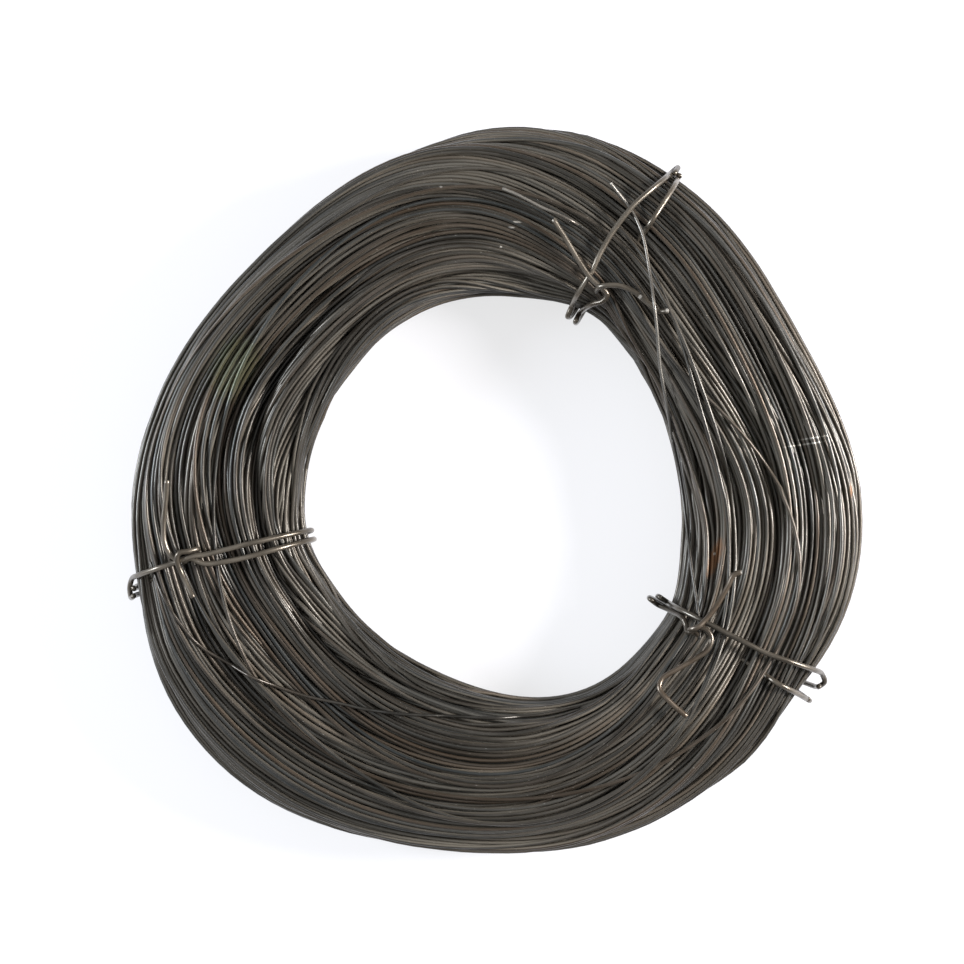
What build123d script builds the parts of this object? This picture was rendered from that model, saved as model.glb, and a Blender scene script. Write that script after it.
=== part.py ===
from build123d import *
import os
from math import cos, degrees, pi, radians, sin

# A coil of soft black binding wire, lying flat on the floor: one long wire wound by hand into an
# uneven ring and held together by three short tie wires, each wrapped twice round the bundle and
# closed with a bent knot on top. Millimetres, +Z up, X to the right and Y up in the photograph.

# Wire
tie_dia = 1.6                 # soft tie wire
seat_gap = 0.35               # clearance between a tie and the turns under it

# Ring outline seen from above: a mean radius and its waves as (waves per turn, height, peak angle)
bore_radius = 61.1
bore_waves = ((1, 2.8, -71), (2, 3.1, -68), (3, 2.3, -54), (4, 0.8, 26), (6, 0.4, -7))
bundle_width = 53.2
rim_radius = bore_radius + bundle_width
rim_waves = ((1, 4.9, -90), (2, 2.6, 47), (3, 4.5, -32), (4, 1.3, -14), (5, 1.0, 1), (6, 0.7, -11))

# Bundle section
mid_height = 36.0             # height where the bundle has its mean width
slump = 0.55                  # how far the bundle spreads low where it is wide
corner_radius = 14.0          # rounding of the bundle's section
corner_room = 0.45            # most of a narrow section's width or height that a corner takes
flat_depth = 0.3              # turns pressed flat by the floor

# Bands of turns that show on the bundle. They wander round its section as they run along it,
# outward over the top, given as waves like the ring's outline.
band_count = 12
band_uneven = 0.22            # how unlike the bands' widths are
band_flow = ((1, 16.0, 190), (2, 3.6, 112), (3, 1.5, 20), (4, 1.8, 0))
flow_place = 0.08             # share of the way round the section where the flow is full
flow_least = 0.3              # part of the flow that is left on the far side of the section
flow_narrow = 3               # how fast the flow fades between the two
band_shoulder = 0.3           # share of a band's width that slopes down to the groove beside it
groove_depth = 1.5            # between two bands of the mean width
groove_parting = 2.0          # how fast a groove deepens where bands part

# The deep valley on top that passes under the left tie, where one band has parted in two: its
# place at some angles, as the angle, a share of that band's width outward and the depth
valley_band = 10
valley = ((100, 0.5, 0), (122, 0.8, 2.5), (135, 0.82, 4.0), (160, 0.68, 4.5), (178, 0.44, 4.0),
          (198, 0.25, 4.0), (214, 0.33, 5.0), (240, 0.27, 4.0), (260, 0.3, 2.5), (285, 0.5, 0))
valley_width = 7.0
valley_room = 0.6             # most of the way to the next groove that half the valley takes

# Waist under each tie
waist_squeeze = 1.2           # bundle drawn in at the sides and on top
waist_flat = 4.5              # length of bundle that keeps the full waist, either way
waist_reach = 19.0            # length of bundle over which a waist fades out, either way
waist_steps = 4
span_step = 10.0              # degrees between the sections away from the waists

# Ties. Distances aside are measured round the ring from the tie's angle. Each tie has
#   bore, rim: how far aside its whole pass and its ended pass cross the bore and the rim
#   bow: how far the whole pass bends aside between them
#   slack: how far it hangs clear of the bore wall and of the rim
#   knot: the knot's place, as a share of the way from bore to rim and a distance aside
#   over_tail, under_tail: its two ends from the knot, as (outward, aside, up)
ties = {
    "left": {
        "angle": 194.5,
        "bore": (-1.8, 1.6),
        "rim": (-2.4, 1.6),
        "bow": -0.8,
        "slack": (0.2, 0.6),
        "knot": (0.68, -3.6),
        "over_tail": ((3.0, -6.2, 3.0), (1.7, -12.3, 3.4), (-0.8, -18.7, 4.2), (-2.7, -24.2, 5.0)),
        "under_tail": ((0.1, 4.2, 1.4), (-0.9, 10.0, 2.4), (-1.4, 14.4, 3.0)),
    },
    "top": {
        "angle": 62.5,
        "bore": (4.1, 1.8),
        "rim": (-3.8, -5.4),
        "bow": 2.4,
        "slack": (3.2, 0.5),
        "knot": (0.14, -1.4),
        "over_tail": ((4.4, 8.0, 3.2), (9.1, 15.5, 4.2), (11.6, 21.9, 4.8), (14.0, 24.4, 5.2)),
        "under_tail": ((5.1, -3.3, 1.2), (4.3, -10.2, 2.6), (2.9, -15.9, 3.4), (4.8, -20.1, 4.2)),
    },
    "right": {
        "angle": -33.0,
        "bore": (-1.0, -3.2),
        "rim": (5.2, -2.0),
        "bow": 0.0,
        "slack": (4.6, 1.2),
        "knot": (0.24, 0.5),
        "over_tail": ((-0.2, 6.6, 3.2), (-0.1, 12.8, 3.8), (-0.9, 17.0, 4.4), (1.1, 20.3, 4.8)),
        "under_tail": ((4.5, -5.8, 1.2), (2.6, -11.1, 2.4), (-2.3, -21.0, 3.4), (1.7, -26.2, 3.8),
                       (11.3, -27.6, 4.2)),
    },
}
knot_lap = 2.2                # how far each end runs past the middle of the knot
cross_gap = 0.25              # clear space where one strand of a tie crosses another
bends_round_corner = 2        # small bends of a tie round each corner of the bundle


def waved(base, waves, angle):
    return base + sum(height * cos(n * radians(angle - peak)) for n, height, peak in waves)


def mean_length():
    # length round the section where the bundle has its mean width
    return 2 * (bundle_width + mid_height) - (8 - 2 * pi) * corner_radius


def squeeze_at(angle):
    # 1 in the middle of a waist, fading to 0 where the bundle is free
    total = 0.0
    for tie in ties.values():
        turn = (angle - tie["angle"] + 180) % 360 - 180
        away = abs(radians(turn)) * (bore_radius + rim_radius) / 2
        faded = max(0, away - waist_flat) / (waist_reach - waist_flat)
        if faded < 1:
            total += cos(pi / 2 * faded) ** 2
    return total


def bundle_at(angle):
    # limits of the bundle's section in the upright plane at this angle
    inner = waved(bore_radius, bore_waves, angle)
    outer = waved(rim_radius, rim_waves, angle)
    height = mid_height * (bundle_width / (outer - inner)) ** slump
    squeeze = squeeze_at(angle)
    under_tie = tie_dia + 2 * seat_gap + flat_depth
    inner += waist_squeeze * squeeze
    outer -= waist_squeeze * squeeze
    low = -flat_depth + under_tie * squeeze
    high = height - waist_squeeze * squeeze
    corner = min(corner_radius, corner_room * min(outer - inner, high - low))
    return {"inner": inner, "outer": outer, "low": low, "high": high, "corner": corner}


def edge_point(bundle, share):
    # point and outward normal on the rounded section, share counted from the middle of the top
    # over the rim, the underside and the bore wall
    r = bundle["corner"]
    left, right = bundle["inner"] + r, bundle["outer"] - r
    low, high = bundle["low"] + r, bundle["high"] - r
    middle = (left + right) / 2
    bend = pi * r / 2
    runs = (
        (right - middle, (middle, high), (right, high), 90, 90),
        (bend, (right, high), (right, high), 90, 0),
        (high - low, (right, high), (right, low), 0, 0),
        (bend, (right, low), (right, low), 0, -90),
        (right - left, (right, low), (left, low), -90, -90),
        (bend, (left, low), (left, low), -90, -180),
        (high - low, (left, low), (left, high), -180, -180),
        (bend, (left, high), (left, high), -180, -270),
        (middle - left, (left, high), (middle, high), -270, -270),
    )
    place = share % 1 * sum(run[0] for run in runs)
    for length, start, end, turn_a, turn_b in runs:
        if place <= length:
            break
        place -= length
    part = place / length
    turn = radians(turn_a + (turn_b - turn_a) * part)
    x = start[0] + (end[0] - start[0]) * part + r * cos(turn)
    z = start[1] + (end[1] - start[1]) * part + r * sin(turn)
    return x, z, cos(turn), sin(turn)


def groove_places(angle):
    # where the grooves between the bands lie on the section at this angle
    flow = waved(0, band_flow, angle) / mean_length()
    places = []
    for k in range(band_count):
        place = (k + band_uneven * sin(k * k)) / band_count
        near = (1 + cos(2 * pi * (place - flow_place))) / 2
        places.append(place + flow * (flow_least + (1 - flow_least) * near ** flow_narrow))
    return places


def valley_at(angle):
    # its share of the band and its depth, even between the angles that are given
    turn = angle % 360
    for (a, place_a, depth_a), (b, place_b, depth_b) in zip(valley, valley[1:]):
        if a <= turn <= b:
            part = (turn - a) / (b - a)
            return place_a + (place_b - place_a) * part, depth_a + (depth_b - depth_a) * part
    return valley[0][1:]


def on_ring(angle, out, up):
    return Vector(out * cos(radians(angle)), out * sin(radians(angle)), up)


def section_wire(angle):
    bundle = bundle_at(angle)
    places = groove_places(angle)
    corners = []
    for k in range(band_count):
        last = places[k - 1] if k else places[-1] - 1
        following = places[k + 1] if k + 1 < band_count else places[0] + 1
        parting = (following - last) / 2 * band_count
        width = following - places[k]
        row = [
            (places[k], groove_depth * parting ** groove_parting),
            (places[k] + width * band_shoulder, 0),
            (following - width * band_shoulder, 0),
        ]
        if k == valley_band:
            share, depth = valley_at(angle)
            before = min(valley_width / 2 / mean_length(), share * width * valley_room)
            after = min(valley_width / 2 / mean_length(), (1 - share) * width * valley_room)
            place = places[k] + share * width
            row[1:] = [(place - before, 0), (place, depth), (place + after, 0)]
        for place, depth in row:
            x, z, nx, nz = edge_point(bundle, place)
            corners.append(on_ring(angle, x - depth * nx, z - depth * nz))
    return Polyline(*corners, close=True).wire()


def span_angles(start, end):
    reach = degrees(waist_reach / ((bore_radius + rim_radius) / 2))
    near = [reach * k / waist_steps for k in range(waist_steps + 1)]
    steps = round((end - start - 2 * reach) / span_step)
    width = (end - start - 2 * reach) / steps
    middle = [start + reach + width * k for k in range(1, steps)]
    return [start + a for a in near] + middle + [end - a for a in reversed(near)]


def coil():
    order = sorted(tie["angle"] % 360 for tie in ties.values())
    faces = []
    for k, start in enumerate(order):
        end = order[k + 1] if k + 1 < len(order) else order[0] + 360
        span = Solid.make_loft([section_wire(a) for a in span_angles(start, end)], ruled=True)
        faces += span.faces().sort_by(Face.area)[:-2]
    ring = Solid(Shell(faces))
    reach = 2 * rim_radius
    floor = Pos(0, 0, -reach / 2) * Box(2 * reach, 2 * reach, reach)
    return ring - floor


def corner_bends(bundle, x, z, first, side):
    # points where a tie bends round one corner of the bundle, at a distance side round the ring
    reach = (bundle["corner"] + tie_dia / 2 + seat_gap) / cos(pi / 4 / bends_round_corner)
    points = []
    for k in range(bends_round_corner):
        turn = radians(first + 90 * (k + 0.5) / bends_round_corner)
        points.append(Vector(x + reach * cos(turn), side, z + reach * sin(turn)))
    return points


def tie_wire(tie):
    bundle = bundle_at(tie["angle"])
    over = bundle["high"] + tie_dia / 2 + seat_gap
    bore = bundle["inner"] + bundle["corner"] - tie["slack"][0]
    rim = bundle["outer"] - bundle["corner"] + tie["slack"][1]
    high = bundle["high"] - bundle["corner"]
    low = bundle["low"] + bundle["corner"]
    passing = tie_dia + cross_gap
    bore_whole, bore_ended = tie["bore"]
    rim_whole, rim_ended = tie["rim"]
    share, aside = tie["knot"]
    knot = Vector(bundle["inner"] + share * (bundle["outer"] - bundle["inner"]), aside, over)
    route = [
        *[knot + Vector(*point) for point in reversed(tie["over_tail"])],
        knot + Vector(knot_lap, 0, passing),
        *corner_bends(bundle, bore, high, 90, bore_ended),
        *corner_bends(bundle, bore, low, 180, bore_ended),
        *corner_bends(bundle, rim + passing, low, 270, bore_ended),
        *corner_bends(bundle, rim + passing, high, 0, rim_whole),
        Vector((bore + rim) / 2, (bore_whole + rim_whole) / 2 + tie["bow"], over),
        *corner_bends(bundle, bore, high, 90, bore_whole),
        *corner_bends(bundle, bore, low, 180, bore_whole),
        *corner_bends(bundle, rim, low, 270, bore_whole),
        *corner_bends(bundle, rim, high, 0, rim_ended),
        knot - Vector(knot_lap, 0, 0),
        *[knot + Vector(*point) for point in tie["under_tail"]],
    ]
    path = Polyline(*route)
    end = Plane(origin=path @ 0, z_dir=path % 0)
    wire = sweep(end * Circle(tie_dia / 2), path=path.wire(), transition=Transition.RIGHT)
    return Rot(0, 0, tie["angle"]) * wire.solid()


os.makedirs("parts", exist_ok=True)
pieces = {"wire_coil": coil()}
for name, tie in ties.items():
    pieces["tie_wire_" + name] = tie_wire(tie)
middle = Compound(list(pieces.values())).bounding_box().center()
for name, piece in pieces.items():
    export_step(Pos(-middle.X, -middle.Y, 0) * piece, "parts/" + name + ".step")
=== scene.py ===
import math

import bpy
import numpy as np
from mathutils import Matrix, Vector
from mathutils.bvhtree import BVHTree


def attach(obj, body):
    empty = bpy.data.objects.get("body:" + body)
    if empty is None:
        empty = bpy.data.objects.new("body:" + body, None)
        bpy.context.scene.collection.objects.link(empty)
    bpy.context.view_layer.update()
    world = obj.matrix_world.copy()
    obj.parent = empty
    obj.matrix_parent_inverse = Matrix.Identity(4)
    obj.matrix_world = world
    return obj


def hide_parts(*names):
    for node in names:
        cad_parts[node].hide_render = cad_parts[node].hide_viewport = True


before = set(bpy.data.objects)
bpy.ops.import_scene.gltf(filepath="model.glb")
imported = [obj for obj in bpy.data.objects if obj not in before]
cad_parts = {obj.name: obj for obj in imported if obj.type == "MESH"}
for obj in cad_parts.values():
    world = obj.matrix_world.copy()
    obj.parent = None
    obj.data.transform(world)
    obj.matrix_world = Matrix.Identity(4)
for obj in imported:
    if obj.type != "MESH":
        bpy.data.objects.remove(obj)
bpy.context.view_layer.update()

# the winding is worked out in millimetres, everything in the scene is in metres
mm = 0.001


# the camera looks straight down on the coil, as in the photograph
camera = {"lens": 85, "sensor": 36, "widthSeen": 0.3046, "elevation": 89.5,
          "target": (-0.0034, 0.0019, 0.018), "photoSide": 964, "nearest": 0.01, "farthest": 20}


def makeCamera(c):
    data = bpy.data.cameras.new("camera")
    data.lens = c["lens"]
    data.sensor_width = c["sensor"]
    distance = c["widthSeen"] / 2 / (c["sensor"] / 2 / c["lens"])
    e = math.radians(c["elevation"])
    back = Vector((0, -math.cos(e), math.sin(e)))
    cam = bpy.data.objects.new("camera", data)
    cam.location = Vector(c["target"]) + back * distance
    cam.rotation_mode = "QUATERNION"
    cam.rotation_quaternion = (-back).to_track_quat("-Z", "Y")
    data.clip_start = c["nearest"]
    data.clip_end = c["farthest"]
    bpy.context.collection.objects.link(cam)
    bpy.context.scene.camera = cam
    return cam


def seenAt(cam, c, px, py, height):
    # the point at this height, in millimetres, that the photograph shows at pixel px, py
    half = c["photoSide"] / 2
    reach = c["sensor"] / 2 / c["lens"]
    ray = Vector(((px - half) / half * reach, (half - py) / half * reach, -1))
    ray.rotate(cam.rotation_quaternion)
    share = (height * mm - cam.location.z) / ray.z
    return (cam.location + ray * share) / mm


cam = makeCamera(camera)
print("camera placed")


# the bundle's outside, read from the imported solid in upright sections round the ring
bundle = {
    "stations": 144,          # sections round the ring
    "rays": 120,              # looks outward from the middle of each section
    "points": 240,            # even points round each section
    "evenAlong": 2,           # neighbours on each side that even out the outside
    "evenAround": 2,
    "midUp": 0.018,           # m, height of the middle of a section
    "farOut": 0.3,            # m, a place outside the ring that looks inward start from
    "overhead": 0.1,          # m, a height over the ring that looks down start from
    "clear": 0.004,           # m outside the surface where the looks into the grooves start
    "hollow": 1.6,            # depth of the valleys as a share of the solid's
    "deepest": 6.0,           # mm, the most that a valley may have
    "usualTop": 36.0,         # mm, a first guess at the height of the top
    "sideBelow": 25,          # mm, a wire lower than this is on the bundle's side or under it
}


def treeOf(obj):
    points = [obj.matrix_world @ v.co for v in obj.data.vertices]
    return BVHTree.FromPolygons(points, [tuple(p.vertices) for p in obj.data.polygons])


def hitDistance(tree, start, direction):
    return tree.ray_cast(start, direction)[3]


def hullOf(points):
    # convex outline of a section, which passes over the grooves between its ridges
    points = sorted(points)

    def half(row):
        kept = []
        for x, z in row:
            while len(kept) > 1:
                (ax, az), (bx, bz) = kept[-2:]
                if (bx - ax) * (z - az) - (bz - az) * (x - ax) > 0:
                    break
                kept.pop()
            kept.append((x, z))
        return kept[:-1]

    return np.array(half(points) + half(points[::-1]))


def evenPoints(hull, centre, count):
    # the outline from the middle of the top, over the rim side, below and back up the bore side
    f = math.pi / 2 - 2 * math.pi * np.arange(4 * count + 1) / (4 * count)   # four looks a point
    looks = np.stack([np.cos(f), np.sin(f)], 1)
    sides = np.roll(hull, -1, 0) - hull
    normals = np.stack([sides[:, 1], -sides[:, 0]], 1)
    away = ((hull - centre) * normals).sum(1)
    far = 1 / (looks @ normals.T / away).max(1)
    line = centre + looks * far[:, None]
    run = np.concatenate([[0], np.hypot(*np.diff(line, axis=0).T).cumsum()])
    want = run[-1] * np.arange(count) / count
    return np.stack([np.interp(want, run, line[:, 0]), np.interp(want, run, line[:, 1])], 1)


def evened(values, axis, reach):
    # running average round a closed row
    total = sum(np.roll(values, k, axis) for k in range(-reach, reach + 1))
    return total / (2 * reach + 1)


def readBundle(tree, b):
    rows = []
    up = Vector((0, 0, 1))
    for k in range(b["stations"]):
        t = 2 * math.pi * k / b["stations"]
        out = Vector((math.cos(t), math.sin(t), 0))
        inner = hitDistance(tree, up * b["midUp"], out)
        outer = b["farOut"] - hitDistance(tree, out * b["farOut"] + up * b["midUp"], -out)
        centre = out * (inner + outer) / 2 + up * b["midUp"]
        hits = []
        for j in range(b["rays"]):
            f = 2 * math.pi * j / b["rays"]
            far = hitDistance(tree, centre, out * math.cos(f) + up * math.sin(f))
            hits.append(((inner + outer) / 2 + far * math.cos(f), b["midUp"] + far * math.sin(f)))
        middle = np.array([(inner + outer) / 2, b["midUp"]])
        rows.append(evenPoints(hullOf(hits), middle, b["points"]))
    edge = np.array(rows) / mm
    for _ in range(2):
        edge = evened(edge, 0, b["evenAlong"])
        edge = evened(edge, 1, b["evenAround"])
    tangent = np.roll(edge, -1, 1) - np.roll(edge, 1, 1)
    length = np.hypot(tangent[..., 0], tangent[..., 1])
    normal = np.stack([-tangent[..., 1], tangent[..., 0]], 2) / length[..., None]
    return edge, normal, length.sum(1) / 2


def readGrooves(tree, edge, normal, b):
    # how far the solid's surface lies below the smooth outside
    deep = np.zeros(edge.shape[:2])
    for k in range(b["stations"]):
        t = 2 * math.pi * k / b["stations"]
        out = Vector((math.cos(t), math.sin(t), 0))
        up = Vector((0, 0, 1))
        for i in range(b["points"]):
            x, z = edge[k, i] * mm
            look = out * normal[k, i, 0] + up * normal[k, i, 1]
            far = hitDistance(tree, out * x + up * z + look * b["clear"], -look)
            deep[k, i] = max(0.0, (far or 0.0) - b["clear"]) / mm
    deep = np.minimum(deep * b["hollow"], b["deepest"])
    return evened(evened(deep, 0, 1), 1, 1)


coilTree = treeOf(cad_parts["wire_coil"])
edge, normal, perimeter = readBundle(coilTree, bundle)
groove = readGrooves(coilTree, edge, normal, bundle)
print("bundle read, mm round its section:", perimeter.min().round(1), perimeter.max().round(1),
      "grooves", groove.mean().round(2), groove.max().round(2))


# the winding: bands of turns laid over each other, each place on the section being a share of
# the way round it, and each height measured from a core inside the bundle
winding = {
    "wireDia": 1.16,          # mm
    "restDia": 1.06,          # two turns closer than this lie one over the other
    "pitch": 1.24,            # mm from turn to turn in a band
    "turns": 440,
    "bandTurns": (8, 24),
    "bandTries": 14,          # places tried for each band, of which the lowest is taken
    "strays": 12,             # single turns laid last, on their own lines
    "flow": ((1, 16.0, 190), (2, 3.6, 112), (3, 1.5, 20), (4, 1.8, 0)),  # waves, mm, peak angle
    "flowPlace": 0.08,        # share of the way round the section where the flow is full
    "flowLeast": 0.3,         # part of it that is left on the far side
    "flowNarrow": 3,
    "bandLean": (2.8, 2.2, 1.5, 0.7),   # mm for one, two, three and four waves a turn
    "strayLean": (4.6, 3.8, 2.6, 1.3),
    "spread": 0.16,           # how much a band opens and closes, as a share of its pitch
    "spreadWaves": (1, 4),
    "phase": 6.28,            # each wave starts anywhere up to this, a whole turn
    "wander": 0.28,           # mm, every turn on its own
    "wanderStep": 16,         # stations
    "stiff": 26,              # rounds of pulling a turn tight over the hollows below it
    "topAlong": 3,            # stations and points over which the winding's top is smoothed
    "topAround": 5,
    "sides": 6,               # of each wire's tube
    "turnsAPiece": 100,
    "coreStep": 3,            # points of a section to each point of the hidden core
    "toneWaves": 2,           # changes of tone in one turn
    "warmWaves": 1.4,
    "toneSpread": 0.26,
    "warmSpread": 0.28,
    "grainShift": 7.3,        # mm between the grain of one band and the next
    "gapLightFrom": 0.5,          # mm below the outside where the painted fill light of the gaps begins, and the depth over which it grows to full
    "gapLightDepth": 1.4,
    "deepGapLight": 0.5,          # painted fill light on a deep turn, and on the side of a turn that faces its neighbours, where shade falls
    "flankGapLight": 0.85,
    "flankCurve": 1.5,
    "valleyShadeFrom": 1.0,          # mm of valley where the painted shade begins and the depth over which it grows, and how much darker it paints the turns there
    "valleyShadeOver": 2.0,
    "valleyShade": 0.40,
    "strayProud": 1.0,        # mm that a stray may stand out on top
    "seed": 11,
}


def smoothNoise(rng, count, step, size):
    # a closed row of soft random waves
    knots = max(3, round(count / step))
    values = rng.normal(0, size, knots)
    place = np.arange(count) / count * knots
    low = np.floor(place).astype(int)
    share = (1 - np.cos(math.pi * (place - low))) / 2
    return values[low % knots] * (1 - share) + values[(low + 1) % knots] * share


def flowAt(t, waves):
    return sum(size * np.cos(n * (t - math.radians(peak))) for n, size, peak in waves)


def flowShare(place, w):
    near = (1 + np.cos(2 * math.pi * (place - w["flowPlace"]))) / 2
    return w["flowLeast"] + (1 - w["flowLeast"]) * near ** w["flowNarrow"]


def leanAt(rng, t, sizes, phase):
    waves = [rng.normal(0, size) * np.cos((n + 1) * t + rng.uniform(0, phase))
             for n, size in enumerate(sizes)]
    return sum(waves)


def restHeight(path, laid, heights, perimeter, w):
    # how high a turn on this path lies on the turns laid before it
    floor = np.full(len(path), w["wireDia"] / 2)
    if len(laid) == 0:
        return floor
    apart = np.abs((laid - path + 0.5) % 1.0 - 0.5) * perimeter
    over = np.sqrt(np.clip(w["restDia"] ** 2 - apart ** 2, 0, None))
    return np.maximum(floor, np.where(apart < w["restDia"], heights + over, 0).max(0))


def pulledTight(rest, rounds):
    # wire under tension bridges the hollows below it
    high = rest.copy()
    for _ in range(rounds):
        high = np.maximum(rest, (np.roll(high, 1) + np.roll(high, -1)) / 2)
    return high


def layBand(rng, turns, lean, laid, heights, perimeter, w):
    # one long wire: it comes back under the band and then runs on turn by turn beside itself
    stations = len(perimeter)
    t = 2 * math.pi * np.arange(stations) / stations
    flow = flowAt(t, w["flow"]) / perimeter.mean()
    own = leanAt(rng, t, lean, w["phase"]) / perimeter.mean()
    tries = [rng.random() for _ in range(w["bandTries"] if len(laid) else 1)]
    costs = [restHeight(c + flow * flowShare(c, w) + own, laid, heights, perimeter, w).mean() for c in tries]
    centre = tries[int(np.argmin(costs))]
    waves = rng.integers(*w["spreadWaves"]) * t + rng.uniform(0, w["phase"])
    spread = 1 + w["spread"] * (1 + np.sin(waves))
    wander = smoothNoise(rng, stations * (turns + 1), w["wanderStep"], w["wander"]).reshape(turns + 1, -1)
    share = np.arange(stations) / stations
    paths, rests = [], []
    for j in range(-1, turns):
        step = turns * (1 - share) if j < 0 else j + share
        if turns == 1:
            step = 0.5
        place = centre + (step - turns / 2) * w["pitch"] * spread / perimeter
        path = place + flow * flowShare(place, w) + own + wander[j + 1] / perimeter
        rest = restHeight(path, np.array(laid + paths), np.array(heights + rests), perimeter, w)
        paths.append(path)
        rests.append(pulledTight(rest, w["stiff"]))
        if turns == 1:
            break
    line = np.concatenate(rests)
    for _ in range(3):
        line = (np.roll(line, 1) + 2 * line + np.roll(line, -1)) / 4
    return paths, list(line.reshape(len(paths), -1))


def windCoil(perimeter, w):
    rng = np.random.default_rng(w["seed"])
    laid, heights, bands = [], [], []
    while len(laid) < w["turns"]:
        turns = int(rng.integers(*w["bandTurns"]))
        paths, rests = layBand(rng, turns, w["bandLean"], laid, heights, perimeter, w)
        bands.append((len(laid), len(laid) + len(paths)))
        laid += paths
        heights += rests
    packed = len(laid)
    for _ in range(w["strays"]):
        paths, rests = layBand(rng, 1, w["strayLean"], laid, heights, perimeter, w)
        bands.append((len(laid), len(laid) + 1))
        laid += paths
        heights += rests
    return np.array(laid), np.array(heights), bands, packed


paths, heights, bands, packed = windCoil(perimeter, winding)
print("turns laid:", len(paths), "in", len(bands), "bands, highest", heights.max().round(1), "mm")


# sinking the winding so that its highest turns touch the bundle's outside
def topOf(paths, heights, perimeter, points, radius):
    places = np.arange(points) / points
    rows = []
    for k in range(len(perimeter)):
        apart = np.abs((paths[:, k][:, None] - places + 0.5) % 1.0 - 0.5) * perimeter[k]
        over = np.sqrt(np.clip(radius ** 2 - apart ** 2, 0, None))
        rows.append(np.where(apart < radius, heights[:, k][:, None] + over, 0).max(0))
    return np.array(rows)


def wideMaximum(values, along, around):
    for axis, reach in ((0, along), (1, around)):
        values = np.max([np.roll(values, k, axis) for k in range(-reach, reach + 1)], axis=0)
    for _ in range(2):
        values = evened(evened(values, 0, along), 1, around)
    return values


def sampleAt(rows, k, share):
    # value of a closed row at a share of the way round
    place = (share % 1.0) * rows.shape[1]
    low = np.floor(place).astype(int)
    part = place - low
    if rows.ndim == 3:
        part = part[..., None]
    return rows[k, low % rows.shape[1]] * (1 - part) + rows[k, (low + 1) % rows.shape[1]] * part


radius = winding["wireDia"] / 2
top = wideMaximum(topOf(paths[:packed], heights[:packed], perimeter, bundle["points"], radius),
                  winding["topAlong"], winding["topAround"])
top += groove
station = np.arange(bundle["stations"])[None, :].repeat(len(paths), 0)
look = sampleAt(normal, station, paths)
proud = np.where(np.arange(len(paths)) < packed, 0, winding["strayProud"])[:, None]
depth = np.maximum(radius - proud * np.clip(look[..., 1], 0, 1), sampleAt(top, station, paths) - heights)
section = sampleAt(edge, station, paths) - sampleAt(normal, station, paths) * depth[..., None]
section[..., 1] = np.maximum(section[..., 1], radius)
print("depth below the outside, mm:", depth.min().round(2), depth.max().round(2))


# tubes
def meshObject(name, points, faces, sizes):
    mesh = bpy.data.meshes.new(name)
    mesh.vertices.add(len(points))
    mesh.vertices.foreach_set("co", (points * mm).astype(np.float32).ravel())
    mesh.loops.add(len(faces))
    mesh.loops.foreach_set("vertex_index", faces.astype(np.int32))
    mesh.polygons.add(len(sizes))
    starts = np.concatenate([[0], np.cumsum(sizes)[:-1]])
    mesh.polygons.foreach_set("loop_start", starts.astype(np.int32))
    mesh.polygons.foreach_set("loop_total", sizes.astype(np.int32))
    mesh.polygons.foreach_set("use_smooth", sizes == 4)
    mesh.update(calc_edges=True)
    obj = bpy.data.objects.new(name, mesh)
    bpy.context.collection.objects.link(obj)
    return obj


def setAttribute(obj, name, kind, values):
    attribute = obj.data.attributes.new(name, kind, "POINT")
    key = "vector" if kind == "FLOAT_VECTOR" else "value"
    attribute.data.foreach_set(key, np.asarray(values, dtype=np.float32).ravel())


def tubeFaces(rings, sides, first, closed):
    i, j = np.meshgrid(np.arange(rings if closed else rings - 1), np.arange(sides), indexing="ij")
    i2, j2 = (i + 1) % rings, (j + 1) % sides
    quads = np.stack([i * sides + j, i2 * sides + j, i2 * sides + j2, i * sides + j2], 2)
    return first + quads.reshape(-1, 4)


def turnRings(line, k, radius, sides):
    # rings of points round one wire, each ring in the upright plane of its station
    t = 2 * math.pi * k / bundle["stations"]
    a = np.linspace(0, 2 * math.pi, sides, endpoint=False)
    out = line[:, 0][:, None] + radius * np.cos(a)
    up = line[:, 1][:, None] + radius * np.sin(a)
    return np.stack([out * np.cos(t)[:, None], out * np.sin(t)[:, None], up], 2)


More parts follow.
